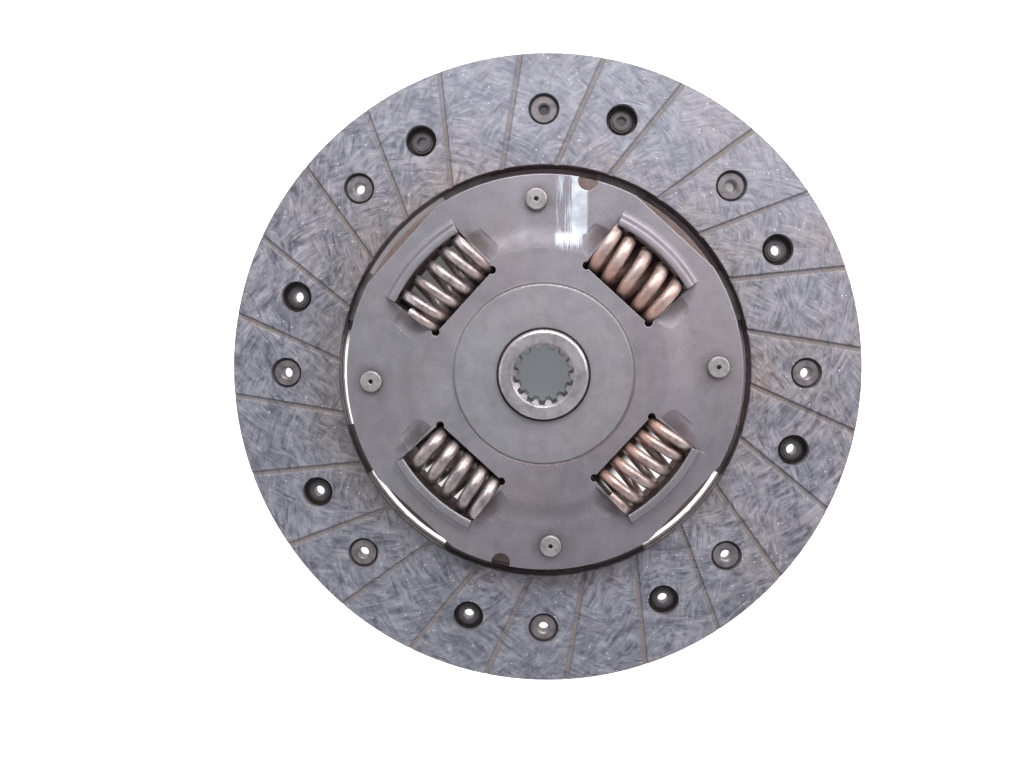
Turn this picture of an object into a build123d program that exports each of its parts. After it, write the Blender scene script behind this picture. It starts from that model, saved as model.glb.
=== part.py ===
from build123d import *
import math
import os

# Dry friction clutch disc with a coil-spring torsion damper.  Millimetres.
# +Z is the disc axis, pointing to the gearbox side.  The origin is on the
# axis, in the plane of the flywheel-side friction face, so the disc lies on
# z = 0.  Angles are measured from +X towards +Y.

# ---------------------------------------------------------------- facings
OD = 216.0                 # outside diameter of the friction facings
ID = 141.4                 # inside diameter of the friction facings
FACING_T = 3.3             # one facing
DISC_T = 8.0               # over both facings, cushion relaxed
RIVET_R = 89.4             # radius of the facing rivet circle
HEAD_A0 = 90.0             # first rivet whose head is on the gearbox side
TAIL_A0 = 72.86            # first rivet whose tail is on the gearbox side
STEP_A = 45.0              # eight of each
CBORE_R = 5.3              # counterbores and clearance holes
LEDGE_T = 1.4              # facing left under a rivet head
SHANK_R = 2.5
GROOVE_N = 24
GROOVE_W = 2.3             # at the face
GROOVE_FLOOR = 1.1         # at the bottom
GROOVE_D = 0.7
GROOVE_OFF = 25.3          # distance of each groove's line from the axis
GROOVE_A0 = 80.65          # direction of that distance, first groove

# ---------------------------------------------------------------- cushion
SEG_N = 8
SEG_T = 0.7
SEG_A0 = 72.2              # middle of the first blade
NECK_A0 = 67.5             # middle of its neck
SEG_HALF = 21.7            # half the blade's angle
NECK_HALF = 7.4
SEG_RIVET_R = 63.7
SEG_RIVET_HALF = 4.3       # angle of each neck rivet from the neck's middle

# ---------------------------------------------------------------- damper
DAMP_A = 2.4               # the damper's own turn against the facings
WIN_A = DAMP_A + 45.0      # first spring window
PLATE_T = 2.0
COVER_R = 66.4             # cover plate rim
COVER_FLAT = 64.1          # distance of the cover's four flats
COVER_RIM_Z = 14.3         # underside of the cover's rim
COVER_MID_Z = 16.0         # underside of the cover's raised middle
COVER_BORE_R = 15.45
STEP_IN, STEP_OUT = 43.4, 48.4
DRIVE_R = 68.0
DRIVE_RIM_Z = 4.0          # underside of the drive plate's rim
DRIVE_MID_Z = 6.2
DRIVE_BORE_R = 16.0
NOTCH_R = 3.2
NOTCH_AT = 65.7
PIN_AT = 58.05             # stop pin circle
PIN_R = 4.0                # shoulder between the plates
PIN_NECK_R = 2.8
PIN_HEAD_R = 3.55
PIN_HEAD_Z = 17.75
WIN_IN = 35.7              # straight inner edge of a window
WIN_HALF = 14.5            # half its length
WIN_OUT = 57.4             # outer arc of a cover window, under its lip
DRIVE_WIN_OUT = 55.7
FLANGE_WIN_OUT = 57.3
FLANGE_WIN_IN = 33.2
WIN_SLOPE = math.tan(math.radians(5.0))
RELIEF_R = 1.35
LIP_HALF = 16.4            # half the angle of a window's turned-up lip

# ---------------------------------------------------------------- springs
SPR_AT = 45.05             # distance of a spring's line from the axis
SPR_Z = 12.0
SPR_OD = 19.6
SPR_HALF = 15.25
THICK_D, THIN_D = 4.6, 3.4

# ---------------------------------------------------------------- hub
HUB_R = 15.0
HUB_TOP = 20.5
HUB_BOT = 0.6
JOURNAL_R = 14.0
SPLINE_N = 14
SPLINE_TIP_R = 8.6
SPLINE_ROOT_R = 10.05
SPLINE_A0 = -3.0
MOUTH_R = 10.7
FLANGE_Z0, FLANGE_Z1 = 10.4, 13.6
FLANGE_R = 61.5
FLANGE_NECK_R = 52.4
TWIST = 6.0                # damper travel each way, degrees
NOTCH_HALF = 10.35         # half the flange's cut-out round a stop pin

os.makedirs("parts", exist_ok=True)


def pol(r, a):
    a = math.radians(a)
    return (r * math.cos(a), r * math.sin(a))


def cyl(r, z0, z1, at=(0, 0)):
    return Pos(at[0], at[1], z0) * Cylinder(r, z1 - z0, align=(Align.CENTER, Align.CENTER, Align.MIN))


def ring(r0, r1, z0, z1):
    return cyl(r1, z0, z1) - cyl(r0, z0 - 1, z1 + 1)


def turned(points):
    """Solid of revolution about Z from (r, z) points."""
    face = make_face(Polyline(*[(r, 0, z) for r, z in points], close=True))
    return revolve(face, axis=Axis.Z)


def sector(r0, r1, a0, a1, z0, z1):
    """Part of a ring between two angles."""
    p = [pol(r0, a0), pol(r1, a0), pol(r1, a1), pol(r0, a1)]
    m = (a0 + a1) / 2
    w = Wire([Line(p[0], p[1]).edge(), ThreePointArc(p[1], pol(r1, m), p[2]).edge(),
              Line(p[2], p[3]).edge(), ThreePointArc(p[3], pol(r0, m), p[0]).edge()])
    return Pos(0, 0, z0) * extrude(make_face(w), amount=z1 - z0)


def save(name, shape):
    solids = shape.solids()
    if len(solids) == 1:
        shape = solids[0]
    else:
        shape = Compound(children=list(solids))
    shape.label = name
    export_step(shape, f"parts/{name}.step")
    print(f"{name:24s} {len(solids):3d} solids {sum(s.volume for s in solids):10.1f} mm3")


FLIP = Axis((0, 0, DISC_T / 2), (*pol(1, (HEAD_A0 + TAIL_A0) / 2), 0))


def flipped(shape):
    """Same piece turned over for the flywheel side, so heads meet tails."""
    return shape.rotate(FLIP, 180)


HEADS = [HEAD_A0 - STEP_A * k for k in range(8)]
TAILS = [TAIL_A0 - STEP_A * k for k in range(8)]

# ---------------------------------------------------------------- facings
z1 = DISC_T
z0 = DISC_T - FACING_T
facing = turned([(ID / 2, z0), (ID / 2, z1 - 0.25), (ID / 2 + 0.25, z1),
                 (OD / 2 - 0.35, z1), (OD / 2, z1 - 0.35), (OD / 2, z0)])
cuts = []
for a in HEADS:
    cuts.append(cyl(CBORE_R, z0 + LEDGE_T, z1 + 1, pol(RIVET_R, a)))
    cuts.append(cyl(SHANK_R + 0.05, z0 - 1, z1, pol(RIVET_R, a)))
for a in TAILS:
    cuts.append(cyl(CBORE_R, z0 - 1, z1 + 1, pol(RIVET_R, a)))
facing -= cuts
grooves = []
for k in range(GROOVE_N):
    a = GROOVE_A0 + 360.0 / GROOVE_N * k
    slope = (GROOVE_W - GROOVE_FLOOR) / 2 / GROOVE_D
    wt, wb = GROOVE_W / 2 + slope, GROOVE_FLOOR / 2
    prof = make_face(Polyline((-wb, 0, z1 - GROOVE_D), (wb, 0, z1 - GROOVE_D), (wt, 0, z1 + 1), (-wt, 0, z1 + 1), close=True))
    b = Pos(GROOVE_OFF, -120, 0) * extrude(prof, amount=60, dir=(0, 1, 0))
    grooves.append(Rot(0, 0, a) * b)
facing -= grooves
save("front_facing", facing)
save("rear_facing", flipped(facing))

# facing rivets: flat head on the ledge, hollow shank, tail rolled on the blade
led = z0 + LEDGE_T
rivet = (cyl(4.55, led, led + 0.8) + cyl(SHANK_R, z0 - SEG_T, led) + cyl(3.7, z0 - SEG_T - 0.85, z0 - SEG_T)
         + cyl(3.0, z0 - SEG_T - 1.25, z0 - SEG_T - 0.85)) - cyl(1.75, z0 - 4, z1)
rivet = chamfer(rivet.edges().filter_by(GeomType.CIRCLE).filter_by(
    lambda e: abs(e.radius - 4.55) < 0.01 and e.center().Z > led + 0.5), 0.25)
rivet -= turned([(0, led + 0.35), (1.75, led + 0.35), (2.35, led + 0.8), (2.35, led + 1.2), (0, led + 1.2)])
rv = [Pos(*pol(RIVET_R, a), 0) * rivet for a in HEADS]
front_rivets = Compound(children=rv)
save("front_facing_rivets", front_rivets)
save("rear_facing_rivets", flipped(front_rivets))

# ---------------------------------------------------------------- cushion
# A blade's section across it: up to the gearbox-side facing at both ends,
# down to the flywheel-side facing in the middle, where its neck leaves.
hi = DISC_T - FACING_T          # top face where it backs the upper facing
lo = FACING_T + SEG_T           # top face where it backs the lower facing
top = [(-46, hi), (-21.5, hi), (-11.5, lo), (14.5, lo), (24.5, hi), (46, hi)]
prof = make_face(Polyline(*[(x, 0, z) for x, z in top], *[(x, 0, z - SEG_T) for x, z in reversed(top)], close=True))
wave = Pos(0, 52, 0) * extrude(prof, amount=60, dir=(0, 1, 0))
segments = []
for k in range(SEG_N):
    a_blade = 90.0
    a_neck = 90.0 + (NECK_A0 - SEG_A0)
    blade = sector(72.4, 106.4, a_blade - SEG_HALF, a_blade + SEG_HALF, 0, DISC_T)
    neck = sector(60.6, 73.0, a_neck - NECK_HALF, a_neck + NECK_HALF, 0, DISC_T)
    outline = blade + neck
    outline = fillet(outline.edges().filter_by(Axis.Z).filter_by(lambda e: e.center().Y > 60), 1.6)
    piece = outline & wave
    for da in (HEAD_A0 - SEG_A0, TAIL_A0 - SEG_A0):
        piece -= cyl(SHANK_R + 0.03, 0, DISC_T, pol(RIVET_R, 90 + da))
    for s in (-1, 1):
        piece -= cyl(2.03, 0, DISC_T, pol(SEG_RIVET_R, a_neck + s * SEG_RIVET_HALF))
    segments.append(Rot(0, 0, SEG_A0 - 90 - STEP_A * k) * piece)
for k, s in enumerate(segments):
    save(f"cushion_segment_{k + 1}", s)

# neck rivets, two to a segment
seg_top = lo
seg_bot = lo - SEG_T
nr = (cyl(3.1, DRIVE_RIM_Z + PLATE_T, DRIVE_RIM_Z + PLATE_T + 1.1) + cyl(2.0, seg_bot, DRIVE_RIM_Z + PLATE_T)
      + cyl(3.3, seg_bot - 1.2, seg_bot))
nr = chamfer(nr.edges().filter_by(GeomType.CIRCLE).filter_by(
    lambda e: e.radius > 3 and (e.center().Z > DRIVE_RIM_Z + PLATE_T + 1 or e.center().Z < seg_bot - 1.1)), 0.4)
spots = [pol(SEG_RIVET_R, NECK_A0 - STEP_A * k + s * SEG_RIVET_HALF) for k in range(8) for s in (-1, 1)]
save("segment_rivets", Compound(children=[Pos(x, y, 0) * nr for x, y in spots]))


# ---------------------------------------------------------------- plates
def window_cut(z0, z1, outer, inner=WIN_IN, relief=True):
    """Spring window, lying across +Y: straight inner edge, ends that open
    outwards, arc outer edge, round reliefs in the inner corners."""
    y0 = inner
    h0 = WIN_HALF + (inner - WIN_IN) * WIN_SLOPE
    # where the slanted end meets the outer arc
    x = WIN_HALF
    for _ in range(20):
        y = math.sqrt(outer ** 2 - x ** 2)
        x = WIN_HALF + (y - WIN_IN) * WIN_SLOPE
    w = Wire([Line((-h0, y0), (h0, y0)).edge(), Line((h0, y0), (x, y)).edge(),
              ThreePointArc((x, y), (0, outer), (-x, y)).edge(), Line((-x, y), (-h0, y0)).edge()])
    c = Pos(0, 0, z0) * extrude(make_face(w), amount=z1 - z0)
    if relief:
        for s in (-1, 1):
            c += cyl(RELIEF_R, z0, z1, (s * (WIN_HALF - 0.55), WIN_IN + 0.35))
    return c


def round_about(shape, n=4, a0=WIN_A):
    return [Rot(0, 0, a0 - 90 + 360.0 / n * k) * shape for k in range(n)]


def plate_blank(points, fillet_at, radius):
    """Pressed plate: (r, z) outline with its bends rounded, turned about Z."""
    face = make_face(Polyline(*[(r, 0, z) for r, z in points], close=True))
    vs = [v for v in face.vertices() if any(abs(v.X - r) < 0.01 and abs(v.Z - z) < 0.01 for r, z in fillet_at)]
    face = fillet(vs, radius)
    return revolve(face, axis=Axis.Z)


T = PLATE_T
cz, cm = COVER_RIM_Z, COVER_MID_Z
rim_top, mid_top = cz + T, cm + T
pts = [(COVER_BORE_R, cm), (COVER_BORE_R, mid_top - 0.3), (COVER_BORE_R + 0.3, mid_top), (STEP_IN, mid_top),
       (STEP_OUT, rim_top), (COVER_R, rim_top), (COVER_R, cz), (STEP_OUT - 0.4, cz), (STEP_IN - 0.4, cm)]
cover = plate_blank(pts, [(STEP_IN, mid_top), (STEP_OUT, rim_top), (STEP_OUT - 0.4, cz), (STEP_IN - 0.4, cm)], 10.0)
for k in range(4):
    cover -= Rot(0, 0, WIN_A + 90 * k) * Pos(COVER_FLAT + 10, 0, cz + 1) * Box(20, 80, 6)
for a in (DAMP_A + 74.8, DAMP_A + 254.8):
    cover -= cyl(NOTCH_R, cz - 1, rim_top + 1, pol(NOTCH_AT, a))
rim_edges = [e for e in cover.edges() if abs(e.center().Z - rim_top) < 0.001
             and min(math.hypot(v.X, v.Y) for v in e.vertices()) > 60]
cover = chamfer(rim_edges, 0.3)

# scoops at both ends of each window, where the pressed middle dips to the rim
scoop_z = rim_top - 0.45
scoops, backs = [], []
for s in (-1, 1):
    ax = Pos(s * 17.6, 46.0, scoop_z + 14.0) * Rot(0, 90 - s * 4, 0)
    scoops.append(ax * Cylinder(14.0, 5.6))
    backs.append(ax * Cylinder(15.5, 6.6))
back = (backs[0] + backs[1]) & (Pos(0, 46.0, cz + 1.0) * Box(60, 18, 2.0))
cover += [b for b in round_about(back)]
cover -= round_about(scoops[0]) + round_about(scoops[1])
cover -= round_about(window_cut(cz - 1, mid_top + 1, WIN_OUT))

# lips turned up along the outer edge of each window, leaning over the spring
lip_pts = [(WIN_OUT, cz), (56.0, rim_top + 1.0), (54.7, rim_top + 2.9), (54.75, rim_top + 3.25), (55.1, rim_top + 3.45),
           (55.6, rim_top + 3.5), (56.5, rim_top + 3.45), (57.0, rim_top + 3.25), (57.4, rim_top + 2.8), (57.75, rim_top + 2.0),
           (58.1, rim_top + 1.1), (58.6, rim_top + 0.45), (59.4, rim_top + 0.1), (60.3, rim_top), (61.0, rim_top), (61.0, cz)]
lip_face = make_face(Polyline(*[(r, 0, z) for r, z in lip_pts], close=True))
lip = revolve(lip_face, axis=Axis.Z, revolution_arc=2 * LIP_HALF)
cover += [Rot(0, 0, WIN_A + 90 * k - LIP_HALF) * lip for k in range(4)]
cover -= [cyl(PIN_NECK_R + 0.02, cz - 1, rim_top + 1, pol(PIN_AT, DAMP_A + 90 * k)) for k in range(4)]
# scored ring round the flat middle
cover -= turned([(29.5, mid_top + 0.2), (29.7, mid_top - 0.05), (30.0, mid_top - 0.3), (30.35, mid_top - 0.3), (30.6, mid_top + 0.2)])
save("cover_plate", cover)

dz, dm = DRIVE_RIM_Z, DRIVE_MID_Z
pts = [(DRIVE_BORE_R, dm), (DRIVE_BORE_R, dm + T), (STEP_IN - 0.4, dm + T), (STEP_OUT - 0.4, dz + T),
       (DRIVE_R - 0.25, dz + T), (DRIVE_R, dz + T - 0.25), (DRIVE_R, dz), (STEP_OUT, dz), (STEP_IN, dm)]
drive = plate_blank(pts, [(STEP_IN, dm), (STEP_OUT, dz), (STEP_OUT - 0.4, dz + T), (STEP_IN - 0.4, dm + T)], 2.0)
drive -= round_about(window_cut(dz - 1, dm + T + 1, DRIVE_WIN_OUT))
rlip_pts = [(DRIVE_WIN_OUT, dz + T), (54.5, dz - 2.0), (54.65, dz - 2.35), (55.0, dz - 2.5), (56.0, dz - 2.5), (56.5, dz - 2.3),
            (56.9, dz - 1.8), (57.7, dz - 0.6), (58.6, dz), (60.3, dz), (60.3, dz + T)]
rlip_face = make_face(Polyline(*[(r, 0, z) for r, z in rlip_pts], close=True))
rlip = revolve(rlip_face, axis=Axis.Z, revolution_arc=2 * LIP_HALF)
drive += [Rot(0, 0, WIN_A + 90 * k - LIP_HALF) * rlip for k in range(4)]
drive -= [cyl(PIN_NECK_R + 0.02, dz - 1, dz + T + 1, pol(PIN_AT, DAMP_A + 90 * k)) for k in range(4)]
drive -= [cyl(2.03, dz - 1, dz + T + 1, s) for s in spots]
save("drive_plate", drive)

# stop pins: shoulder between the plates, necks through them, both ends headed
pin = (cyl(PIN_R, dz + T, cz) + cyl(PIN_NECK_R, dz, rim_top) + cyl(PIN_HEAD_R, rim_top, PIN_HEAD_Z)
       + cyl(PIN_HEAD_R, dz - 1.4, dz))
pin = chamfer(pin.edges().filter_by(GeomType.CIRCLE).filter_by(
    lambda e: abs(e.radius - PIN_HEAD_R) < 0.01 and (e.center().Z > PIN_HEAD_Z - 0.1 or e.center().Z < dz - 1.3)), 0.35)
pin -= cyl(0.8, PIN_HEAD_Z - 2.5, PIN_HEAD_Z + 1) + cyl(0.8, dz - 3, dz + 1)
save("stop_pins", Compound(children=[Pos(*pol(PIN_AT, DAMP_A + 90 * k), 0) * pin for k in range(4)]))


# ---------------------------------------------------------------- springs
def coil(d, turns, phase, end_turns=0.62):
    """Right-hand compression spring lying along X, its ends closed and ground
    to the slant of the window ends.  phase: turns from the left end to the
    first pass over the top."""
    rm = (SPR_OD - d) / 2
    half = SPR_HALF - 0.22 * d
    p_end = d * 1.03
    ramp = 0.35

    def shape(u):                    # 0 in the closed ends, 1 in the middle
        w = min(u, turns - u)
        s = min(max((w - end_turns) / ramp, 0.0), 1.0)
        return s * s * (3 - 2 * s)
    n = 400
    us = [turns * (i + 0.5) / n for i in range(n)]
    m = sum(shape(u) for u in us) / n
    # pitch p_end + (p_mid - p_end) * shape, adding up to the length
    p_mid = p_end + (2 * half / turns - p_end) / m
    steps, fine = int(round(turns * 12)), 20
    xs, x = [-half], -half
    for i in range(steps):
        for j in range(fine):
            x += (p_end + (p_mid - p_end) * shape(turns * (i + (j + 0.5) / fine) / steps)) * turns / steps / fine
        xs.append(x)

    def centre(i):
        a = 2 * math.pi * (turns * i / steps - phase) + math.pi / 2
        y, z = rm * math.cos(a), rm * math.sin(a)
        return Vector(xs[i] * (1 + y * WIN_SLOPE / SPR_HALF), y, z)
    path = Spline(*[centre(i) for i in range(steps + 1)])
    body = sweep(Plane(origin=path @ 0, z_dir=path % 0) * Circle(d / 2), path=path)
    c, w = SPR_HALF, 13.0 * WIN_SLOPE
    for s in (-1, 1):
        body -= extrude(make_face(Polyline((s * (c - w), -13, -13), (s * (c + w), 13, -13), (s * (c + 12), 13, -13),
                                           (s * (c + 12), -13, -13), close=True)), amount=26)
    print(f"coil d {d} turns {turns} middle pitch {p_mid:.2f}")
    return Pos(0, SPR_AT, SPR_Z) * body


def at_window(shape, k):
    return Rot(0, 0, WIN_A - 90 + 90 * k) * shape


# in turn from +X towards +Y: stiff, soft, stiff, soft
save("damper_spring_1", at_window(coil(THICK_D, 4.55, 0.20), 0))
save("damper_spring_2", at_window(coil(THIN_D, 5.30, 0.03), 1))
save("damper_spring_3", at_window(coil(THICK_D, 4.75, 0.12), 2))
save("damper_spring_4", at_window(coil(THIN_D, 5.30, 0.27), 3))


# ---------------------------------------------------------------- hub
def seat(extra, z0, z1):
    """Toothed seat of the flange on the hub."""
    s = cyl(16.9 + extra, z0, z1)
    for k in range(12):
        s += Rot(0, 0, 30 * k) * Pos(16.8, 0, (z0 + z1) / 2) * Box(3.4 + 2 * extra, 4.0 + 2 * extra, z1 - z0)
    return s


hub = turned([(0, HUB_BOT), (JOURNAL_R - 0.8, HUB_BOT), (JOURNAL_R, HUB_BOT + 0.8), (JOURNAL_R, 9.3), (19.4, 9.3),
              (19.4, FLANGE_Z0), (16.9, FLANGE_Z0), (16.9, FLANGE_Z1 + 0.5), (16.4, FLANGE_Z1 + 0.8), (HUB_R, FLANGE_Z1 + 0.8),
              (HUB_R, HUB_TOP), (0, HUB_TOP)])
hub = fillet(hub.edges().filter_by(GeomType.CIRCLE).filter_by(lambda e: abs(e.radius - HUB_R) < 0.01 and e.center().Z > HUB_TOP - 0.1), 1.3)
hub += seat(0, FLANGE_Z0, FLANGE_Z1)
# splined bore: round bore at the tooth tips, grooves between the teeth
pitch = 360.0 / SPLINE_N
hub -= cyl(SPLINE_TIP_R, HUB_BOT - 1, HUB_TOP + 1)
gr = []
for k in range(SPLINE_N):
    a = SPLINE_A0 + pitch * (k + 0.5)
    w_in, w_out = 2.55, 1.75
    g = make_face(Polyline((SPLINE_TIP_R - 0.6, -w_in / 2), (SPLINE_ROOT_R - 0.12, -w_out / 2), (SPLINE_ROOT_R, -w_out / 2 + 0.25),
                           (SPLINE_ROOT_R, w_out / 2 - 0.25), (SPLINE_ROOT_R - 0.12, w_out / 2), (SPLINE_TIP_R - 0.6, w_in / 2), close=True))
    gr.append(Rot(0, 0, a) * Pos(0, 0, HUB_BOT - 1) * extrude(g, amount=HUB_TOP - HUB_BOT + 2))
hub -= gr
for zz, s in ((HUB_TOP, 1), (HUB_BOT, -1)):
    deep = MOUTH_R - SPLINE_TIP_R + 0.3
    hub -= turned([(0, zz + s * 0.5), (MOUTH_R + 0.5, zz + s * 0.5), (MOUTH_R, zz), (MOUTH_R - deep, zz - s * deep), (0, zz - s * deep)])
save("hub", hub)

flange = cyl(FLANGE_R, FLANGE_Z0, FLANGE_Z1) - seat(0.03, FLANGE_Z0 - 1, FLANGE_Z1 + 1)
flange -= round_about(window_cut(FLANGE_Z0 - 1, FLANGE_Z1 + 1, FLANGE_WIN_OUT, inner=FLANGE_WIN_IN, relief=False))
flange -= [sector(FLANGE_NECK_R, 80, DAMP_A + 90 * k - NOTCH_HALF, DAMP_A + 90 * k + NOTCH_HALF, FLANGE_Z0 - 1, FLANGE_Z1 + 1)
           for k in range(4)]
save("hub_flange", flange)

# ---------------------------------------------------------------- friction pack
mid_bot = cm
save("front_friction_ring", ring(17.6, 27.0, FLANGE_Z1 + 0.08, FLANGE_Z1 + 1.1))
sup = ring(17.8, 28.5, FLANGE_Z1 + 1.1, FLANGE_Z1 + 1.6)
save("support_ring", sup)
cone = turned([(18.2, FLANGE_Z1 + 1.6), (28.0, mid_bot - 0.5), (28.0, mid_bot), (27.6, mid_bot), (17.9, FLANGE_Z1 + 2.1), (17.9, FLANGE_Z1 + 1.6)])
for k in range(8):
    cone -= Rot(0, 0, 45 * k) * Pos(18.5, 0, FLANGE_Z1 + 2) * Box(4.0, 3.0, 3)
save("friction_spring", cone)
save("rear_friction_ring", ring(20.2, 28.0, dm + T, FLANGE_Z0 - 0.08))
bush = ring(JOURNAL_R + 0.05, DRIVE_BORE_R, dm - 0.9, dm + T) + ring(JOURNAL_R + 0.05, 19.2, dm + T, 9.2)
save("centring_bush", bush)
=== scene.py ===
import math

import bpy
from mathutils import Matrix, Vector


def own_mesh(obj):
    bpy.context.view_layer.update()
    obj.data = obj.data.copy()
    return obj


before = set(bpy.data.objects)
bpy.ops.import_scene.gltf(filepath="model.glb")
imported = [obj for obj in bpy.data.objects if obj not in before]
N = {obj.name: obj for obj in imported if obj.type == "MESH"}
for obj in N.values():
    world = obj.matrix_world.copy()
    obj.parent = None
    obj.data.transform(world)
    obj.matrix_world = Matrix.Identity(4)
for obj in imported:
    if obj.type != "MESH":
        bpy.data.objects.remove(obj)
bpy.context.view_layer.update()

MM = 0.001


# ------------------------------------------------------------------ node helpers
class Mat:
    """A small builder for one procedural material. Lengths are in millimetres,
    in the row frame, because every node's object sits at the origin."""

    def __init__(self, name):
        self.m = bpy.data.materials.new(name)
        self.m.use_nodes = True
        self.t = self.m.node_tree
        self.t.nodes.clear()
        self.out = self.t.nodes.new("ShaderNodeOutputMaterial")
        self.bsdf = self.t.nodes.new("ShaderNodeBsdfPrincipled")
        self.t.links.new(self.bsdf.outputs[0], self.out.inputs[0])
        co = self.t.nodes.new("ShaderNodeTexCoord").outputs["Object"]
        self.p = self.vec("SCALE", co, scale=1000.0)          # position in mm
        s = self.t.nodes.new("ShaderNodeSeparateXYZ")
        self.t.links.new(self.p, s.inputs[0])
        self.x, self.y, self.z = s.outputs
        self._r = self._th = None
        g = self.t.nodes.new("ShaderNodeNewGeometry")
        self.tn = g.outputs["True Normal"]
        s2 = self.t.nodes.new("ShaderNodeSeparateXYZ")
        self.t.links.new(self.tn, s2.inputs[0])
        self.nx, self.ny, self.nz = s2.outputs

    def put(self, node, i, v):
        if v is None:
            return
        if hasattr(v, "links") or isinstance(v, bpy.types.NodeSocket):
            self.t.links.new(v, node.inputs[i])
        else:
            sock = node.inputs[i]
            if sock.type == "RGBA" and len(v) == 3:
                v = (*v, 1.0)
            sock.default_value = v

    def math(self, op, a, b=None, c=None, clamp=False):
        n = self.t.nodes.new("ShaderNodeMath")
        n.operation, n.use_clamp = op, clamp
        self.put(n, 0, a), self.put(n, 1, b), self.put(n, 2, c)
        return n.outputs[0]

    def vec(self, op, a, b=None, scale=None):
        n = self.t.nodes.new("ShaderNodeVectorMath")
        n.operation = op
        self.put(n, 0, a), self.put(n, 1, b)
        if scale is not None:
            self.put(n, 3, scale)
        return n.outputs[1] if op in ("LENGTH", "DOT_PRODUCT", "DISTANCE") else n.outputs[0]

    def xyz(self, x, y, z=0.0):
        n = self.t.nodes.new("ShaderNodeCombineXYZ")
        self.put(n, 0, x), self.put(n, 1, y), self.put(n, 2, z)
        return n.outputs[0]

    @property
    def r(self):
        if self._r is None:
            self._r = self.vec("LENGTH", self.xyz(self.x, self.y, 0.0))
        return self._r

    def noise(self, at, scale, detail=3.0, rough=0.55, distort=0.0, w=None, color=False):
        n = self.t.nodes.new("ShaderNodeTexNoise")
        if w is not None:
            n.noise_dimensions = "4D"
            n.inputs["W"].default_value = w
        self.put(n, n.inputs.find("Vector"), at)
        n.inputs["Scale"].default_value = scale
        n.inputs["Detail"].default_value = detail
        n.inputs["Roughness"].default_value = rough
        n.inputs["Distortion"].default_value = distort
        return n.outputs["Color"] if color else n.outputs[0]

    def voronoi(self, at, scale, feature="F1", rand=1.0):
        n = self.t.nodes.new("ShaderNodeTexVoronoi")
        n.feature = feature
        self.put(n, n.inputs.find("Vector"), at)
        n.inputs["Scale"].default_value = scale
        n.inputs["Randomness"].default_value = rand
        return n

    def ramp(self, v, lo, hi, a=0.0, b=1.0, smooth=True):
        n = self.t.nodes.new("ShaderNodeMapRange")
        n.interpolation_type = "SMOOTHSTEP" if smooth else "LINEAR"
        self.put(n, 0, v)
        n.inputs[1].default_value, n.inputs[2].default_value = lo, hi
        n.inputs[3].default_value, n.inputs[4].default_value = a, b
        return n.outputs[0]

    def mix(self, f, a, b, mode="MIX"):
        n = self.t.nodes.new("ShaderNodeMix")
        n.data_type, n.blend_type, n.clamp_factor = "RGBA", mode, True
        self.put(n, 0, f), self.put(n, 6, a), self.put(n, 7, b)
        return n.outputs[2]

    def band(self, v, lo, hi, soft):
        """1 between lo and hi, falling to 0 over soft."""
        return self.math("MULTIPLY", self.ramp(v, lo - soft, lo + soft), self.ramp(v, hi - soft, hi + soft, 1.0, 0.0))

    def mul(self, *v):
        out = v[0]
        for k in v[1:]:
            out = self.math("MULTIPLY", out, k)
        return out

    def edge(self, radius, lo=0.02, hi=0.25):
        """1 on sharp outer and inner edges, from the bevelled normal."""
        b = self.t.nodes.new("ShaderNodeBevel")
        b.samples = 4
        b.inputs[0].default_value = radius * MM
        d = self.vec("DOT_PRODUCT", b.outputs[0], self.tn)
        return self.ramp(self.math("SUBTRACT", 1.0, d), lo, hi)

    def cavity(self, dist, lo=0.35, hi=0.95):
        """1 in corners and under overhangs."""
        a = self.t.nodes.new("ShaderNodeAmbientOcclusion")
        a.samples = 6
        a.only_local = False
        a.inputs["Distance"].default_value = dist * MM
        return self.ramp(a.outputs["AO"], lo, hi, 1.0, 0.0)

    def bump(self, *layers, bevel=None):
        """layers: (height 0..1, depth in mm)."""
        normal = None
        if bevel:
            b = self.t.nodes.new("ShaderNodeBevel")
            b.samples = 4
            b.inputs[0].default_value = bevel * MM
            normal = b.outputs[0]
        for h, depth in layers:
            n = self.t.nodes.new("ShaderNodeBump")
            n.inputs["Strength"].default_value = 1.0
            n.inputs["Distance"].default_value = depth * MM
            self.put(n, n.inputs.find("Height"), h)
            if normal is not None:
                self.put(n, n.inputs.find("Normal"), normal)
            normal = n.outputs[0]
        self.t.links.new(normal, self.bsdf.inputs["Normal"])

    def set(self, **k):
        for name, v in k.items():
            self.put(self.bsdf, self.bsdf.inputs.find(name.replace("_", " ")), v)
        return self

    def over(self, *names):
        for n in names:
            d = N[n].data
            d.materials.clear()
            d.materials.append(self.m)
        return self


def turn(m, a):
    """The position turned by a degrees about Z."""
    c, s = math.cos(math.radians(a)), math.sin(math.radians(a))
    return (m.math("ADD", m.math("MULTIPLY", m.x, c), m.math("MULTIPLY", m.y, s)),
            m.math("SUBTRACT", m.math("MULTIPLY", m.y, c), m.math("MULTIPLY", m.x, s)))


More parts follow.
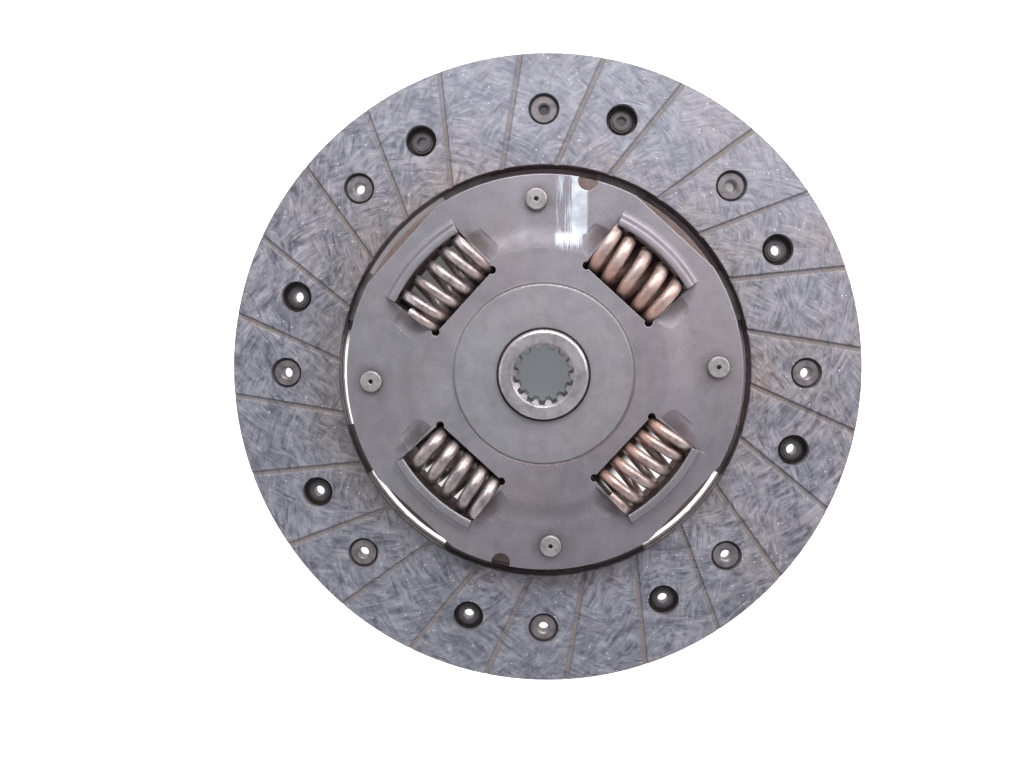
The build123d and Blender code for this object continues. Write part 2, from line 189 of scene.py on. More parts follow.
# ------------------------------------------------------------------ friction facing
def facing(name, top, seed, worn):
    """Moulded fibre composite: short wound strands crossing each other,
    burnished, with brown dust in the grooves. top: z of its friction face."""
    m = Mat(name)
    up = 1.0 if top > 4 else -1.0
    # strands run to both sides of the ring's own direction
    half = []
    for flip in (1, -1):
        th = m.math("ARCTAN2", m.math("MULTIPLY", m.y, flip), m.math("MULTIPLY", m.x, flip))
        u = m.math("MULTIPLY", th, 89.0)
        strokes = []
        for k, (ang, w) in enumerate(((31, 1.3), (-44, 5.7), (-4, 9.1))):
            c, s = math.cos(math.radians(ang)), math.sin(math.radians(ang))
            a = m.math("ADD", m.math("MULTIPLY", u, c), m.math("MULTIPLY", m.r, s))
            b = m.math("SUBTRACT", m.math("MULTIPLY", m.r, c), m.math("MULTIPLY", u, s))
            at = m.xyz(m.math("MULTIPLY", a, 0.120), m.math("MULTIPLY", b, 0.66), 7.0 * k)
            strokes.append(m.noise(at, 1.0, detail=2.5, rough=0.56, distort=1.10, w=w + seed + 3.1 * flip))
        patch = m.noise(m.xyz(m.math("MULTIPLY", u, 0.09), m.math("MULTIPLY", m.r, 0.09), 0.0), 1.0, detail=1.0, w=2.2 + seed + flip)
        patch2 = m.noise(m.xyz(m.math("MULTIPLY", u, 0.11), m.math("MULTIPLY", m.r, 0.11), 4.0), 1.0, detail=1.0, w=8.2 + seed + flip)
        v = m.math("ADD", m.mul(strokes[0], m.ramp(patch, 0.40, 0.60, 0.12, 0.88)), m.mul(strokes[1], m.ramp(patch, 0.40, 0.60, 0.88, 0.12)))
        k3 = m.ramp(patch2, 0.50, 0.66, 0.0, 0.8)
        v = m.math("ADD", m.mul(v, m.math("SUBTRACT", 1.0, k3)), m.mul(strokes[2], k3))
        half.append(v)
    side = m.ramp(m.math("DIVIDE", m.x, m.r), -0.15, 0.15)
    strand = m.math("ADD", m.mul(half[0], side), m.mul(half[1], m.math("SUBTRACT", 1.0, side)))
    blot = m.noise(m.p, 0.30, detail=4.0, rough=0.66, distort=0.6, w=seed + 15)
    strand = m.math("ADD", strand, m.mul(m.math("SUBTRACT", blot, 0.5), 0.62))
    strand = m.ramp(strand, 0.34, 0.68, smooth=False)
    fine = m.noise(m.p, 2.6, detail=3.0, rough=0.6, w=seed)
    broad = m.noise(m.p, 0.028, detail=2.0, rough=0.5, w=seed + 4)
    mid = m.noise(m.p, 0.11, detail=3.0, rough=0.6, w=seed + 6)

    dark, light = (0.072, 0.077, 0.112), (0.352, 0.350, 0.395)
    base = m.mix(strand, dark, light)
    base = m.mix(m.ramp(fine, 0.35, 0.70), m.mix(1.0, base, (0.80, 0.80, 0.82), "MULTIPLY"), base)
    # lighter, more worn patches and darker, glazed ones
    base = m.mix(m.mul(m.ramp(mid, 0.50, 0.68), 0.34), base, (0.275, 0.275, 0.310))
    base = m.mix(m.mul(m.ramp(mid, 0.50, 0.33), 0.34), base, (0.082, 0.084, 0.106))
    # brown tint: near the inner edge, to one side and in patches
    inner = m.ramp(m.r, 71.0, 84.0, 1.0, 0.0)
    right = m.mul(m.ramp(m.x, 30.0, 100.0), 0.55)
    upper = m.mul(m.ramp(m.y, -30.0, 70.0), 0.35)
    leftish = m.ramp(m.x, -30.0, -80.0)
    brown = m.math("ADD", m.math("ADD", m.mul(inner, 0.55), right), upper)
    brown = m.mul(brown, m.ramp(broad, 0.33, 0.62, 0.25, 1.0), m.ramp(mid, 0.36, 0.60, 0.35, 1.0))
    base = m.mix(m.mul(brown, worn), base, m.mix(strand, (0.108, 0.085, 0.084), (0.335, 0.282, 0.282)))
    # painted light: lighter and bluer towards the upper right; painted shade: darker towards the lower left
    lit_side = m.math("ADD", m.y, m.mul(m.x, 0.45))
    base = m.mix(m.ramp(lit_side, 20.0, 112.0, 0.0, 0.24), base, (0.400, 0.410, 0.500))
    base = m.mix(m.ramp(lit_side, 10.0, -90.0, 0.0, 0.17), base, (0.090, 0.090, 0.112))
    base = m.mix(m.mul(m.ramp(m.r, 70.0, 96.0, 0.55, 0.0), leftish), base, m.mix(strand, (0.078, 0.068, 0.070), (0.200, 0.180, 0.172)))
    # dust and glaze in the grooves
    low = m.math("MULTIPLY", m.math("SUBTRACT", top, m.z), up)               # depth below the face
    flat = m.ramp(m.math("MULTIPLY", m.nz, up), 0.7, 0.9)
    groove = m.mul(m.ramp(low, 0.10, 0.55), m.ramp(low, 1.0, 1.2, 1.0, 0.0))
    dust = m.mix(m.ramp(fine, 0.38, 0.62), (0.140, 0.116, 0.110), (0.262, 0.224, 0.212))
    base = m.mix(m.mul(groove, m.ramp(m.math("ADD", blot, m.mul(m.math("SUBTRACT", broad, 0.5), 0.5)), 0.36, 0.62, 0.28, 0.90)), base, dust)
    # counterbores: painted shade, dark deep in the recess
    deep = m.mul(m.ramp(low, 1.1, 1.6), m.band(m.r, 80.0, 99.0, 1.0))
    base = m.mix(m.mul(deep, 0.75), base, m.mix(m.ramp(fine, 0.4, 0.6), (0.045, 0.042, 0.048), (0.095, 0.086, 0.088)))
    # outer and inner wall, fibrous and dusty
    wall = m.math("ADD", m.ramp(m.r, 107.4, 107.9), m.ramp(m.r, 70.8, 71.2, 1.0, 0.0), clamp=True)
    wcol = m.mix(m.ramp(m.noise(m.xyz(m.math("MULTIPLY", m.x, 0.35), m.math("MULTIPLY", m.y, 0.35), m.math("MULTIPLY", m.z, 2.2)), 1.0, detail=4.0, w=seed), 0.35, 0.65),
                 (0.100, 0.076, 0.086), (0.225, 0.186, 0.200))
    base = m.mix(wall, base, wcol)
    # metal chips and light specks caught in the face
    v1 = m.voronoi(m.xyz(m.math("MULTIPLY", m.x, 0.9), m.math("MULTIPLY", m.y, 1.0), m.z), 0.95)
    hue = m.t.nodes.new("ShaderNodeSeparateColor")
    m.t.links.new(v1.outputs["Color"], hue.inputs[0])
    warp = m.math("ADD", v1.outputs["Distance"], m.mul(m.math("SUBTRACT", fine, 0.5), 0.35))
    chip = m.mul(m.ramp(warp, 0.20, 0.12), m.ramp(m.math("ADD", hue.outputs[0], m.mul(m.math("SUBTRACT", mid, 0.5), 0.12)), 0.925, 0.935), m.ramp(low, 0.08, 0.2, 1.0, 0.0))
    pale = m.mul(m.ramp(warp, 0.26, 0.14), m.ramp(m.math("ADD", hue.outputs[1], m.mul(m.math("SUBTRACT", mid, 0.5), 0.10)), 0.940, 0.950), m.ramp(low, 0.08, 0.2, 1.0, 0.0))
    base = m.mix(m.mul(chip, 0.85), base, (0.60, 0.44, 0.24))
    base = m.mix(m.mul(pale, 0.8), base, (0.72, 0.70, 0.68))
    # edges rubbed light: wear, and a painted highlight along the edges
    e = m.edge(0.35, 0.03, 0.3)
    base = m.mix(m.mul(e, 0.35, m.ramp(mid, 0.4, 0.6)), base, (0.36, 0.33, 0.31))
    # painted shade: darker in recesses and corners
    cav = m.cavity(2.0, 0.25, 0.9)
    base = m.mix(m.mul(cav, 0.30), base, (0.045, 0.038, 0.036))
    rough = m.math("ADD", m.ramp(strand, 0.0, 1.0, 0.62, 0.46), m.mul(m.math("ADD", groove, deep, clamp=True), 0.25))
    m.bump((strand, 0.10), (fine, 0.035), bevel=0.18)
    m.set(Base_Color=base, Roughness=rough, Metallic=m.mul(chip, 0.9))
    m.set(Specular_IOR_Level=0.42)
    return m


facing("facing_front", 8.0, 0.0, 1.0).over("front_facing")
facing("facing_rear", 0.0, 11.0, 1.0).over("rear_facing")


# ------------------------------------------------------------------ plain steels
def steel(name, dark, light, rust, rust_at=0.0, calm=None, dull=None, rough=(0.34, 0.52), metal=0.85, seed=0.0, scale=0.12, turned=0.0,
          rust_col=((0.070, 0.032, 0.020), (0.205, 0.098, 0.058)), edge_wear_and_highlight=0.55, edge_r=0.3, cavity=2.0, extra=None,
          grain=0.012, spec=0.5, tints=((0.30, 0.22, 0.25), (0.26, 0.19, 0.14)), tint=0.0, rust_mask=None):
    m = Mat(name)
    broad = m.noise(m.p, scale, detail=3.0, rough=0.55, w=seed)
    mid = m.noise(m.p, scale * 4.5, detail=4.0, rough=0.6, w=seed + 3)
    fine = m.noise(m.p, 3.2, detail=3.0, rough=0.6, w=seed + 5)
    base = m.mix(m.ramp(broad, 0.36, 0.64), dark, light)
    base = m.mix(m.mul(m.ramp(mid, 0.45, 0.70), 0.35), base, light)
    base = m.mix(m.mul(m.ramp(fine, 0.55, 0.75), 0.22), base, dark)
    if tint:
        t1 = m.noise(m.p, scale * 0.55, detail=2.0, w=seed + 9)
        t2 = m.noise(m.p, scale * 0.9, detail=3.0, w=seed + 13)
        base = m.mix(m.mul(m.ramp(t1, 0.42, 0.66), tint), base, tints[0])
        base = m.mix(m.mul(m.ramp(t2, 0.48, 0.70), tint), base, tints[1])
    # scratches: long thin strokes in a few directions
    scr = None
    for k, a in enumerate((17, 71, 128)):
        u, v = turn(m, a + seed * 7)
        s = m.noise(m.xyz(m.math("MULTIPLY", u, 0.06), m.math("MULTIPLY", v, 2.4), 5.0 * k), 1.0, detail=1.5, rough=0.5, w=seed + k)
        s = m.mul(m.ramp(s, 0.70, 0.76), m.ramp(m.noise(m.p, 0.15, detail=1.0, w=seed + 20 + k), 0.5, 0.62))
        scr = s if scr is None else m.math("MAXIMUM", scr, s)
    base = m.mix(m.mul(scr, 0.35), base, (0.62, 0.60, 0.60))
    if extra:
        base = extra(m, base, broad, mid, fine)
    # rust in blotches, more in corners
    cav = m.cavity(cavity, 0.30, 0.95)
    amount = m.ramp(m.math("ADD", m.noise(m.p, 0.30, detail=5.0, rough=0.68, w=seed + 7), m.mul(cav, 0.10)), 0.66 - rust * 0.30, 0.74 - rust * 0.30)
    if rust_at:
        amount = m.math("MAXIMUM", m.mul(amount, rust), m.mul(m.ramp(m.noise(m.p, 0.8, detail=4.0, w=seed + 17), 0.25, 0.55), rust_at))
    else:
        amount = m.mul(amount, min(1.0, rust * 1.6))
    if rust_mask:
        amount = rust_mask(m, amount)
    rcol = m.mix(m.ramp(fine, 0.35, 0.65), *rust_col)
    base = m.mix(amount, base, rcol)
    # edges lighter: rubbed wear and a painted highlight along every edge
    e = m.edge(edge_r, 0.02, 0.22)
    if calm:
        e = m.mul(e, m.math("SUBTRACT", 1.0, m.band(m.r, calm[0], calm[1], 0.3)))
    base = m.mix(m.mul(e, edge_wear_and_highlight, m.ramp(mid, 0.30, 0.55, 0.4, 1.0)), base, (0.74, 0.73, 0.74))
    # painted shade: darker in corners, under overhangs and in narrow gaps between parts
    base = m.mix(m.mul(cav, 0.55), base, (0.035, 0.022, 0.020))
    r0 = m.ramp(mid, 0.35, 0.65, rough[0], rough[1], smooth=False)
    r1 = m.math("ADD", r0, m.mul(amount, 0.30))
    r1 = m.math("SUBTRACT", r1, m.mul(scr, 0.10), clamp=True)
    if dull:
        r1 = m.math("ADD", r1, m.mul(m.band(m.r, dull[0], dull[1], 1.5), dull[2]))
    layers = [(fine, grain), (mid, grain * 2.0), (amount, 0.03)]
    if turned:
        ringed = m.noise(m.xyz(m.math("MULTIPLY", m.r, 3.2), m.math("MULTIPLY", m.z, 3.2), 0.0), 1.0, detail=2.0, rough=0.7, w=seed + 2)
        layers.append((ringed, turned))
        base = m.mix(m.mul(m.ramp(ringed, 0.40, 0.65), 0.16), base, light)
    m.bump(*layers, bevel=edge_r)
    m.set(Base_Color=base, Roughness=r1, Metallic=m.math("SUBTRACT", metal, m.mul(amount, metal * 0.8), clamp=True))
    m.set(Specular_IOR_Level=spec)
    return m


def cover_extra(m, base, broad, mid, fine):
    """Heat tints, the darker stamped middle, painted shade towards the top and the lower right,
    a painted highlight and shade on the step ring, grime at the spring seats and a
    plain smear of old pale paint."""
    drift = m.math("ADD", m.ramp(m.math("ADD", m.x, m.mul(m.math("SUBTRACT", broad, 0.5), 60.0)), -10.0, 45.0), 0.0)
    base = m.mix(m.mul(drift, 0.45), base, (0.292, 0.242, 0.268))
    cool = m.ramp(m.math("ADD", m.x, m.mul(m.math("SUBTRACT", broad, 0.5), 50.0)), -55.0, -15.0, 1.0, 0.0)
    base = m.mix(m.mul(cool, 0.35), base, (0.255, 0.262, 0.292))
    # painted shade: darker towards the top and towards the lower right
    base = m.mix(m.mul(m.ramp(m.y, 22.0, 60.0), 0.30), base, (0.170, 0.162, 0.188))
    low = m.math("SUBTRACT", m.mul(m.x, 0.6), m.y)
    base = m.mix(m.mul(m.ramp(low, 15.0, 65.0), 0.34), base, (0.170, 0.166, 0.196))
    middle = m.ramp(m.r, 29.2, 30.0, 1.0, 0.0)
    base = m.mix(m.mul(middle, 0.55), base, (0.320, 0.328, 0.345))
    base = m.mix(m.mul(m.band(m.r, 20.5, 26.5, 0.6), 0.14), base, (0.42, 0.42, 0.44))
    # painted highlight on the upper side of the step ring, painted shade on its lower side
    step_lit_and_shaded = m.band(m.r, 29.5, 30.8, 0.25)
    base = m.mix(m.mul(step_lit_and_shaded, 0.52), base, m.mix(m.ramp(m.y, -14.0, 16.0), (0.205, 0.158, 0.172), (0.480, 0.455, 0.475)))
    for k in range(4):                                   # brown halo round each pin
        a = math.radians(2.4 + 90 * k)
        d = m.vec("LENGTH", m.xyz(m.math("SUBTRACT", m.x, 58.05 * math.cos(a)), m.math("SUBTRACT", m.y, 58.05 * math.sin(a)), 0.0))
        halo = m.ramp(m.math("ADD", d, m.mul(m.math("SUBTRACT", mid, 0.5), 3.0)), 3.2, 7.6, 0.42, 0.0)
        base = m.mix(halo, base, (0.120, 0.088, 0.084))
    grain = m.noise(m.p, 5.5, detail=2.0, rough=0.7, w=77.0)
    base = m.mix(m.ramp(grain, 0.40, 0.62, 0.0, 0.20), base, (0.480, 0.460, 0.490))
    base = m.mix(m.ramp(grain, 0.60, 0.38, 0.0, 0.22), base, (0.125, 0.118, 0.138))
    # grime at each end of the windows
    for k in range(4):
        u, v = turn(m, 2.4 + 45 + 90 * k - 90)          # u along the spring, v outward
        au = m.math("ABSOLUTE", u)
        d = m.vec("LENGTH", m.xyz(m.math("MULTIPLY", m.math("SUBTRACT", au, 17.8), 0.42), m.math("MULTIPLY", m.math("SUBTRACT", v, 46.5), 0.15), 0.0))
        g = m.mul(m.ramp(m.math("ADD", d, m.mul(m.math("SUBTRACT", mid, 0.5), 2.2)), 0.20, 1.30, 1.0, 0.0), m.ramp(v, 0.0, 10.0))
        base = m.mix(m.mul(g, 0.55), base, (0.110, 0.078, 0.070))
    # paint: solid to the right, dry brush strokes to the left
    streak = m.noise(m.xyz(m.math("MULTIPLY", m.x, 1.7), m.math("MULTIPLY", m.y, 0.07), 0.0), 1.0, detail=3.0, rough=0.7, w=31.0)
    rim = m.mul(m.band(m.y, 46.5, 65.6, 0.5), m.ramp(m.x, 3.6, 5.0), m.ramp(m.math("ADD", m.x, m.mul(m.math("SUBTRACT", broad, 0.5), 2.0)), 14.0, 14.9, 1.0, 0.0))
    solid = m.ramp(m.x, 7.0, 13.0)
    a = m.mul(rim, m.ramp(m.math("ADD", streak, m.mul(solid, 0.30)), 0.50, 0.62))
    paint_low = m.mul(m.band(m.y, 38.0, 47.0, 0.9), m.ramp(m.x, 3.4, 4.4), m.ramp(m.x, 12.2, 13.2, 1.0, 0.0))
    b = m.mul(paint_low, m.ramp(m.math("ADD", streak, m.ramp(m.y, 38.0, 46.0, -0.16, 0.14)), 0.48, 0.60))
    paint = m.math("MULTIPLY", m.math("MAXIMUM", a, b), m.ramp(m.nz, 0.5, 0.8))
    paint = m.mul(paint, m.ramp(fine, 0.25, 0.40, 0.7, 1.0))
    m.paint = paint
    base = m.mix(m.mul(paint, 0.80), base, m.mix(m.ramp(mid, 0.35, 0.65), (0.50, 0.55, 0.62), (0.74, 0.78, 0.83)))
    return base


GUN_DARK, GUN_LIGHT = (0.240, 0.230, 0.258), (0.330, 0.317, 0.350)
steel("cover_steel", GUN_DARK, GUN_LIGHT, rust=0.06, rough=(0.48, 0.60), seed=1.0, scale=0.05, extra=cover_extra, tint=0.40, edge_wear_and_highlight=0.62, dull=(42.0, 50.5, 0.16),
      edge_r=0.35, cavity=2.5, calm=(28.6, 31.6), tints=((0.285, 0.222, 0.262), (0.262, 0.220, 0.205))).over("cover_plate")
steel("drive_steel", (0.150, 0.120, 0.118), (0.245, 0.205, 0.200), rust=0.55, rust_at=0.45, rough=(0.42, 0.62), seed=2.0, scale=0.06, tint=0.4,
      edge_wear_and_highlight=0.45, edge_r=0.35, rust_col=((0.095, 0.050, 0.040), (0.235, 0.140, 0.115))).over("drive_plate")
steel("flange_steel", (0.120, 0.100, 0.100), (0.200, 0.175, 0.170), rust=0.35, rust_at=0.25, seed=3.0, rough=(0.45, 0.60), edge_wear_and_highlight=0.3).over("hub_flange")
def segment_extra(m, base, broad, mid, fine):
    """Painted shade where the segments run between the facings and show only through the clearance holes."""
    return m.mix(m.ramp(m.r, 76.0, 80.0, 0.0, 0.88), base, m.mix(m.ramp(fine, 0.4, 0.6), (0.030, 0.028, 0.033), (0.060, 0.056, 0.060)))


steel("segment_steel", (0.170, 0.155, 0.160), (0.270, 0.250, 0.255), rust=0.20, rust_at=0.10, seed=4.0, rough=(0.38, 0.52), edge_wear_and_highlight=0.4, edge_r=0.12, extra=segment_extra).over(
    *[f"cushion_segment_{i}" for i in range(1, 9)])
steel("plate_rivet_steel", (0.180, 0.155, 0.150), (0.280, 0.245, 0.235), rust=0.35, rust_at=0.15, seed=5.0, edge_wear_and_highlight=0.5).over("segment_rivets")
def rivets(name, node, tail_up):
    def tails(m, base, broad, mid, fine):
        """The rolled tails sit deep in the clearance holes and are darkened there with painted shade."""
        t = m.ramp(m.z, 4.4, 4.8) if tail_up else m.ramp(m.z, 3.2, 3.6, 1.0, 0.0)
        return m.mix(m.mul(t, 0.72), base, m.mix(m.ramp(fine, 0.4, 0.6), (0.045, 0.042, 0.048), (0.110, 0.102, 0.108)))
    steel(name, (0.135, 0.120, 0.128), (0.232, 0.208, 0.218), rust=0.12, seed=6.0, scale=0.3, rough=(0.40, 0.55), metal=0.6, edge_wear_and_highlight=0.30,
          edge_r=0.25, rust_col=((0.080, 0.054, 0.044), (0.160, 0.112, 0.090)), extra=tails, cavity=1.2).over(node)


rivets("front_rivet_steel", "front_facing_rivets", False)
rivets("rear_rivet_steel", "rear_facing_rivets", True)
steel("pin_steel", (0.290, 0.268, 0.272), (0.415, 0.385, 0.388), rust=0.05, seed=7.0, scale=0.35, rough=(0.34, 0.46), edge_wear_and_highlight=0.5, edge_r=0.3,
      cavity=1.6, metal=0.65).over("stop_pins")
def hub_extra(m, base, broad, mid, fine):
    """Painted shade inside the bore: the wall below its mouth is darkened, the spline grooves more than the tooth tips.
    """
    wall = m.mul(m.ramp(m.r, 10.3, 10.6, 1.0, 0.0), m.ramp(m.nz, 0.30, 0.50, 1.0, 0.0))
    t = m.mul(wall, m.ramp(m.r, 8.70, 8.90, 0.45, 0.93))
    return m.mix(t, base, m.mix(m.ramp(mid, 0.4, 0.6), (0.030, 0.028, 0.030), (0.085, 0.080, 0.080)))


steel("hub_steel", (0.365, 0.332, 0.350), (0.565, 0.525, 0.542), extra=hub_extra, rust=0.10, seed=8.0, scale=0.16, rough=(0.26, 0.40), turned=0.02, edge_wear_and_highlight=0.9, edge_r=0.4,
      cavity=2.2, rust_col=((0.085, 0.055, 0.045), (0.190, 0.130, 0.105))).over("hub")
steel("ring_steel", (0.300, 0.295, 0.300), (0.430, 0.425, 0.430), rust=0.08, seed=9.0, rough=(0.30, 0.45)).over("support_ring", "friction_spring")


def wire(name, seed, rust, copper, tone, k):
    """Spring wire: grey scale rubbed bright on top, with a copper bloom."""
    warm = (0.300 + 0.06 * copper, 0.268, 0.282 - 0.03 * copper), (0.560 + 0.05 * copper, 0.520, 0.540 - 0.03 * copper)

    def scale(m, base, broad, mid, fine):
        """Dark mill scale left in streaks and flecks."""
        s1 = m.noise(m.p, 0.75, detail=4.0, rough=0.65, distort=0.8, w=seed + 30)
        s2 = m.noise(m.p, 2.2, detail=3.0, rough=0.6, w=seed + 31)
        d = m.math("ADD", m.mul(m.ramp(s1, 0.50, 0.62), 0.62), m.mul(m.ramp(s2, 0.58, 0.70), 0.38), clamp=True)
        base = m.mix(m.mul(d, 0.72), base, (0.150 + 0.07 * copper, 0.112, 0.116))
        base = m.mix(m.mul(m.ramp(s2, 0.44, 0.34), 0.35), base, (0.80, 0.76, 0.77))
        v = turn(m, 47.4 + 90 * k - 90)[1]
        inside = m.ramp(m.math("ADD", v, m.mul(m.math("SUBTRACT", s1, 0.5), 9.0)), 38.5, 45.0, 1.0, 0.0)
        return m.mix(m.mul(inside, 0.62 * copper), base, (0.640, 0.350, 0.270))
    return steel(name, *[tuple(c * tone for c in k) for k in warm], rust=rust, rust_at=rust * 0.5, seed=seed, scale=0.22, rough=(0.26, 0.44), metal=0.88,
                 rust_col=((0.330, 0.185, 0.150), (0.620, 0.410, 0.340)), edge_wear_and_highlight=0.0, edge_r=0.05, cavity=3.2, grain=0.014, tint=0.25 + 0.25 * copper,
                 extra=scale, tints=((0.540 * tone, 0.380 * tone, 0.335 * tone), (0.300 * tone, 0.232 * tone, 0.245 * tone)))


# tone is partly painted light and shade: brighter for the two upper springs, darker for the two lower ones; rust and
# copper differ from spring to spring
wire("wire_1", 21.0, 0.50, 1.0, 1.10, 0).over("damper_spring_1")
wire("wire_2", 22.0, 0.20, 0.2, 1.02, 1).over("damper_spring_2")
wire("wire_3", 23.0, 0.16, 0.1, 0.80, 2).over("damper_spring_3")
wire("wire_4", 24.0, 0.38, 0.8, 0.88, 3).over("damper_spring_4")


# ------------------------------------------------------------------ plastic rings
def plastic(name, seed):
    m = Mat(name)
    a = m.noise(m.p, 0.25, detail=4.0, w=seed)
    b = m.noise(m.p, 4.0, detail=3.0, w=seed + 1)
    base = m.mix(m.ramp(a, 0.35, 0.65), (0.022, 0.020, 0.019), (0.060, 0.052, 0.046))
    base = m.mix(m.mul(m.ramp(b, 0.55, 0.75), 0.3), base, (0.110, 0.095, 0.080))
    # edges lighter: wear and a painted highlight along the edges
    base = m.mix(m.mul(m.edge(0.3), 0.4), base, (0.16, 0.15, 0.14))
    m.bump((b, 0.02), (a, 0.05), bevel=0.2)
    m.set(Base_Color=base, Roughness=m.ramp(a, 0.3, 0.7, 0.45, 0.65))
    return m


plastic("friction_plastic", 41.0).over("front_friction_ring", "rear_friction_ring", "centring_bush")

for k in range(1, 5):
    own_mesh(N[f"damper_spring_{k}"])


# ------------------------------------------------------------------ floor, light, camera
fm = bpy.data.materials.new("floor")
fm.use_nodes = True
ft = fm.node_tree
fb = ft.nodes["Principled BSDF"]
fb.inputs["Base Color"].default_value = (0.93, 0.93, 0.94, 1.0)
fb.inputs["Roughness"].default_value = 0.9
fb.inputs["Specular IOR Level"].default_value = 0.1
fb.inputs["Emission Color"].default_value = (1.0, 1.0, 1.0, 1.0)
geo = ft.nodes.new("ShaderNodeNewGeometry")
ln = ft.nodes.new("ShaderNodeVectorMath")
ln.operation = "LENGTH"
ft.links.new(geo.outputs["Position"], ln.inputs[0])


def fnode(op, a, b=None):
    n = ft.nodes.new("ShaderNodeMath")
    n.operation = op
    for i, v in enumerate((a, b)):
        if v is None:
            continue
        if isinstance(v, float):
            n.inputs[i].default_value = v
        else:
            ft.links.new(v, n.inputs[i])
    return n.outputs[0]


def framp(v, lo, hi, a=0.0, b=1.0):
    n = ft.nodes.new("ShaderNodeMapRange")
    n.interpolation_type = "SMOOTHSTEP"
    ft.links.new(v, n.inputs[0])
    for i, k in enumerate((lo, hi, a, b)):
        n.inputs[i + 1].default_value = k
    return n.outputs[0]


# painted light: the floor glows under the open gaps and rivet holes of the lower half,
# less under those of the upper half, and faintly, with a blue tone, under the hub bore
fs = ft.nodes.new("ShaderNodeSeparateXYZ")
ft.links.new(geo.outputs["Position"], fs.inputs[0])
fx, fy, fr = fs.outputs[0], fs.outputs[1], ln.outputs[1]


def toward(deg, lo, hi):
    c, sn = math.cos(math.radians(deg)), math.sin(math.radians(deg))
    d = fnode("ADD", fnode("MULTIPLY", fx, c), fnode("MULTIPLY", fy, sn))
    return framp(fnode("DIVIDE", d, fnode("MAXIMUM", fr, 0.001)), lo, hi)


def window(deg):
    """1 across the middle of one spring window."""
    c, sn = math.cos(math.radians(deg)), math.sin(math.radians(deg))
    along = fnode("ABSOLUTE", fnode("SUBTRACT", fnode("MULTIPLY", fy, c), fnode("MULTIPLY", fx, sn)))
    out = fnode("ADD", fnode("MULTIPLY", fx, c), fnode("MULTIPLY", fy, sn))
    return fnode("MULTIPLY", framp(along, 0.0118, 0.0138, 1.0, 0.0), framp(out, 0.0405, 0.0450))


gaps = fnode("MAXIMUM", toward(211.0, 0.72, 0.80), toward(315.0, 0.86, 0.93))
gaps = fnode("MAXIMUM", gaps, fnode("MULTIPLY", toward(133.0, 0.90, 0.96), 0.20))
coils = fnode("MAXIMUM", fnode("MAXIMUM", window(315.0), fnode("MULTIPLY", window(225.0), 0.8)), fnode("MULTIPLY", window(135.0), 0.12))
holes = framp(fnode("ADD", fy, fnode("MULTIPLY", fx, 0.10)), 0.060, 0.076, 1.0, 0.06)
holes = fnode("MAXIMUM", holes, framp(fr, 0.098, 0.106))
inner = coils
m1 = framp(fr, 0.0590, 0.0600)
m2 = framp(fr, 0.0790, 0.0810)
em = fnode("ADD", fnode("MULTIPLY", inner, fnode("SUBTRACT", 1.0, m1)), fnode("MULTIPLY", fnode("MULTIPLY", gaps, m1), fnode("SUBTRACT", 1.0, m2)))
em = fnode("ADD", em, fnode("MULTIPLY", holes, m2))
em = fnode("ADD", em, framp(fr, 0.016, 0.030, 0.185, 0.0))
ft.links.new(em, fb.inputs["Emission Strength"])
tone = ft.nodes.new("ShaderNodeMix")
tone.data_type = "RGBA"
ft.links.new(framp(fr, 0.020, 0.034), tone.inputs[0])
tone.inputs[6].default_value = (0.88, 0.93, 1.0, 1.0)
tone.inputs[7].default_value = (1.0, 1.0, 1.0, 1.0)
ft.links.new(tone.outputs[2], fb.inputs["Emission Color"])
# painted shadow on the floor under the disc: grey under the hub, dark under the damper springs, brown-purple under the
# facings' inner edge
shade = ft.nodes.new("ShaderNodeMix")
shade.data_type = "RGBA"
ft.links.new(framp(fr, 0.014, 0.034), shade.inputs[0])
shade.inputs[6].default_value = (0.27, 0.285, 0.31, 1.0)
shade.inputs[7].default_value = (0.93, 0.93, 0.94, 1.0)
dusk = ft.nodes.new("ShaderNodeMix")
dusk.data_type = "RGBA"
ft.links.new(fnode("MULTIPLY", framp(fr, 0.032, 0.036), framp(fr, 0.076, 0.082, 1.0, 0.0)), dusk.inputs[0])
ft.links.new(shade.outputs[2], dusk.inputs[6])
dim = ft.nodes.new("ShaderNodeMix")
dim.data_type = "RGBA"
ft.links.new(framp(fr, 0.057, 0.060), dim.inputs[0])
dim.inputs[6].default_value = (0.20, 0.15, 0.165, 1.0)
dim.inputs[7].default_value = (0.52, 0.40, 0.435, 1.0)
ft.links.new(dim.outputs[2], dusk.inputs[7])
ft.links.new(dusk.outputs[2], fb.inputs["Base Color"])
S = 6.0
fmesh = bpy.data.meshes.new("floor")
fmesh.from_pydata([(-S, -S, 0), (S, -S, 0), (S, S, 0), (-S, S, 0)], [], [(0, 1, 2, 3)])
floor = bpy.data.objects.new("floor", fmesh)
bpy.context.scene.collection.objects.link(floor)
floor.data.materials.append(fm)
floor.location = (0.0, 0.0, -0.0002)

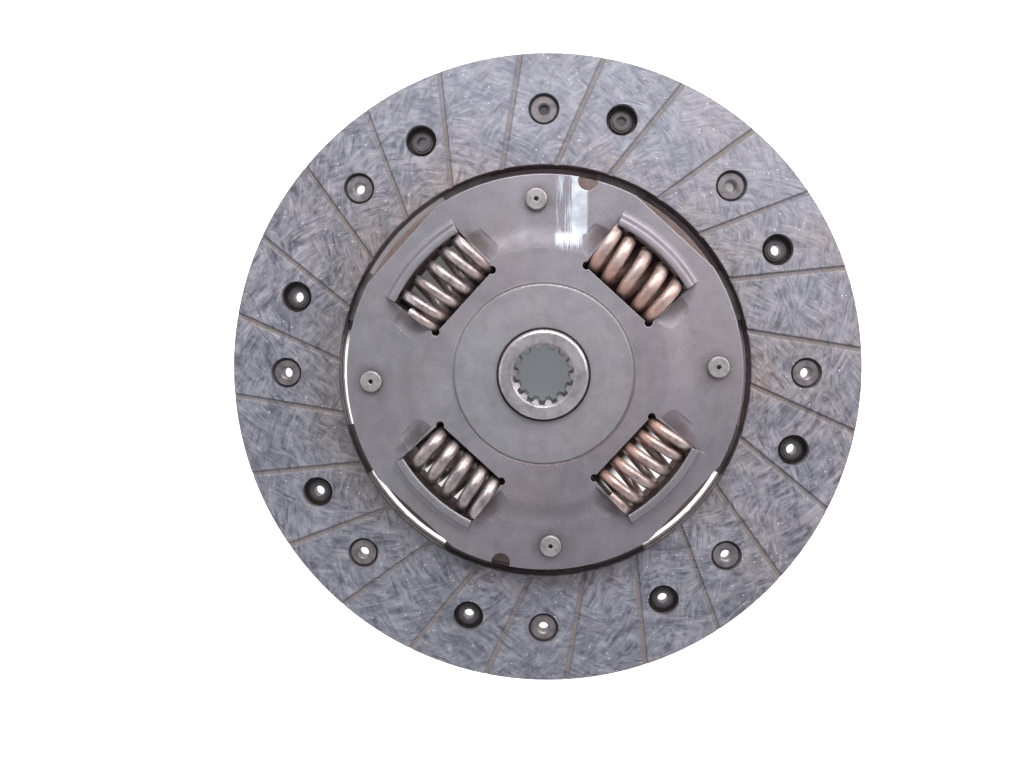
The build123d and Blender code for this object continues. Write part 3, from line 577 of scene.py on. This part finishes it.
world = bpy.data.worlds.new("world")
bpy.context.scene.world = world
world.use_nodes = True
wt = world.node_tree
bg = wt.nodes["Background"]
wc = wt.nodes.new("ShaderNodeTexCoord")
wx = wt.nodes.new("ShaderNodeSeparateXYZ")
wt.links.new(wc.outputs["Generated"], wx.inputs[0])
wr = wt.nodes.new("ShaderNodeMapRange")                      # bright walls, a dimmer ceiling
wr.interpolation_type = "SMOOTHSTEP"
wt.links.new(wx.outputs[2], wr.inputs[0])
for i, v in enumerate((0.30, 0.92, 0.86, 0.46)):
    wr.inputs[i + 1].default_value = v
bg.inputs[0].default_value = (0.95, 0.96, 1.0, 1.0)
wt.links.new(wr.outputs[0], bg.inputs[1])


def area(name, at, to, size, power, colour=(1, 1, 1)):
    l = bpy.data.lights.new(name, "AREA")
    l.shape = "RECTANGLE"
    l.size, l.size_y = size
    l.energy = power
    l.color = colour
    o = bpy.data.objects.new(name, l)
    bpy.context.scene.collection.objects.link(o)
    o.location = at
    o.rotation_mode = "QUATERNION"
    o.rotation_quaternion = (Vector(to) - Vector(at)).to_track_quat("-Z", "Y")
    return o


area("key", (0.06, 0.62, 0.52), (0.0, 0.05, 0), (0.60, 0.40), 7.6, (1.0, 0.99, 0.98))
area("left", (-0.95, 0.10, 0.45), (0, 0, 0), (0.5, 0.8), 0.7, (0.92, 0.96, 1.0))
area("right", (0.85, 0.42, 0.50), (0.03, 0.03, 0), (0.5, 0.8), 4.6, (1.0, 0.96, 0.94))

cam = bpy.data.cameras.new("camera")
cam.sensor_width = 36.0
cam.sensor_fit = "HORIZONTAL"
cam.lens = 900.0 * 36.0 / 1024.0
cam.clip_start, cam.clip_end = 0.01, 20.0
co = bpy.data.objects.new("camera", cam)
bpy.context.scene.collection.objects.link(co)
bpy.context.scene.camera = co
up = Vector((-0.0386, -0.0614, 0.9974)).normalized()          # the disc's axis seen by the camera
xa = (Vector((1, 0, 0)) - up * up.x).normalized()
ya = up.cross(xa)
xa, ya = xa + 0.0013 * ya, ya - 0.0013 * xa
xa.normalize(), ya.normalize()
to_cam = Matrix((xa, ya, up)).transposed()                   # object axes in camera axes
place = to_cam.transposed() @ Vector((-10.86, -3.757, 309.473)) * MM + Vector((0, 0, 0.008))
co.matrix_world = Matrix.Translation(place) @ to_cam.transposed().to_4x4()

view = bpy.context.scene.view_settings
view.view_transform = "Standard"
view.look = "None"
view.exposure = 0.0
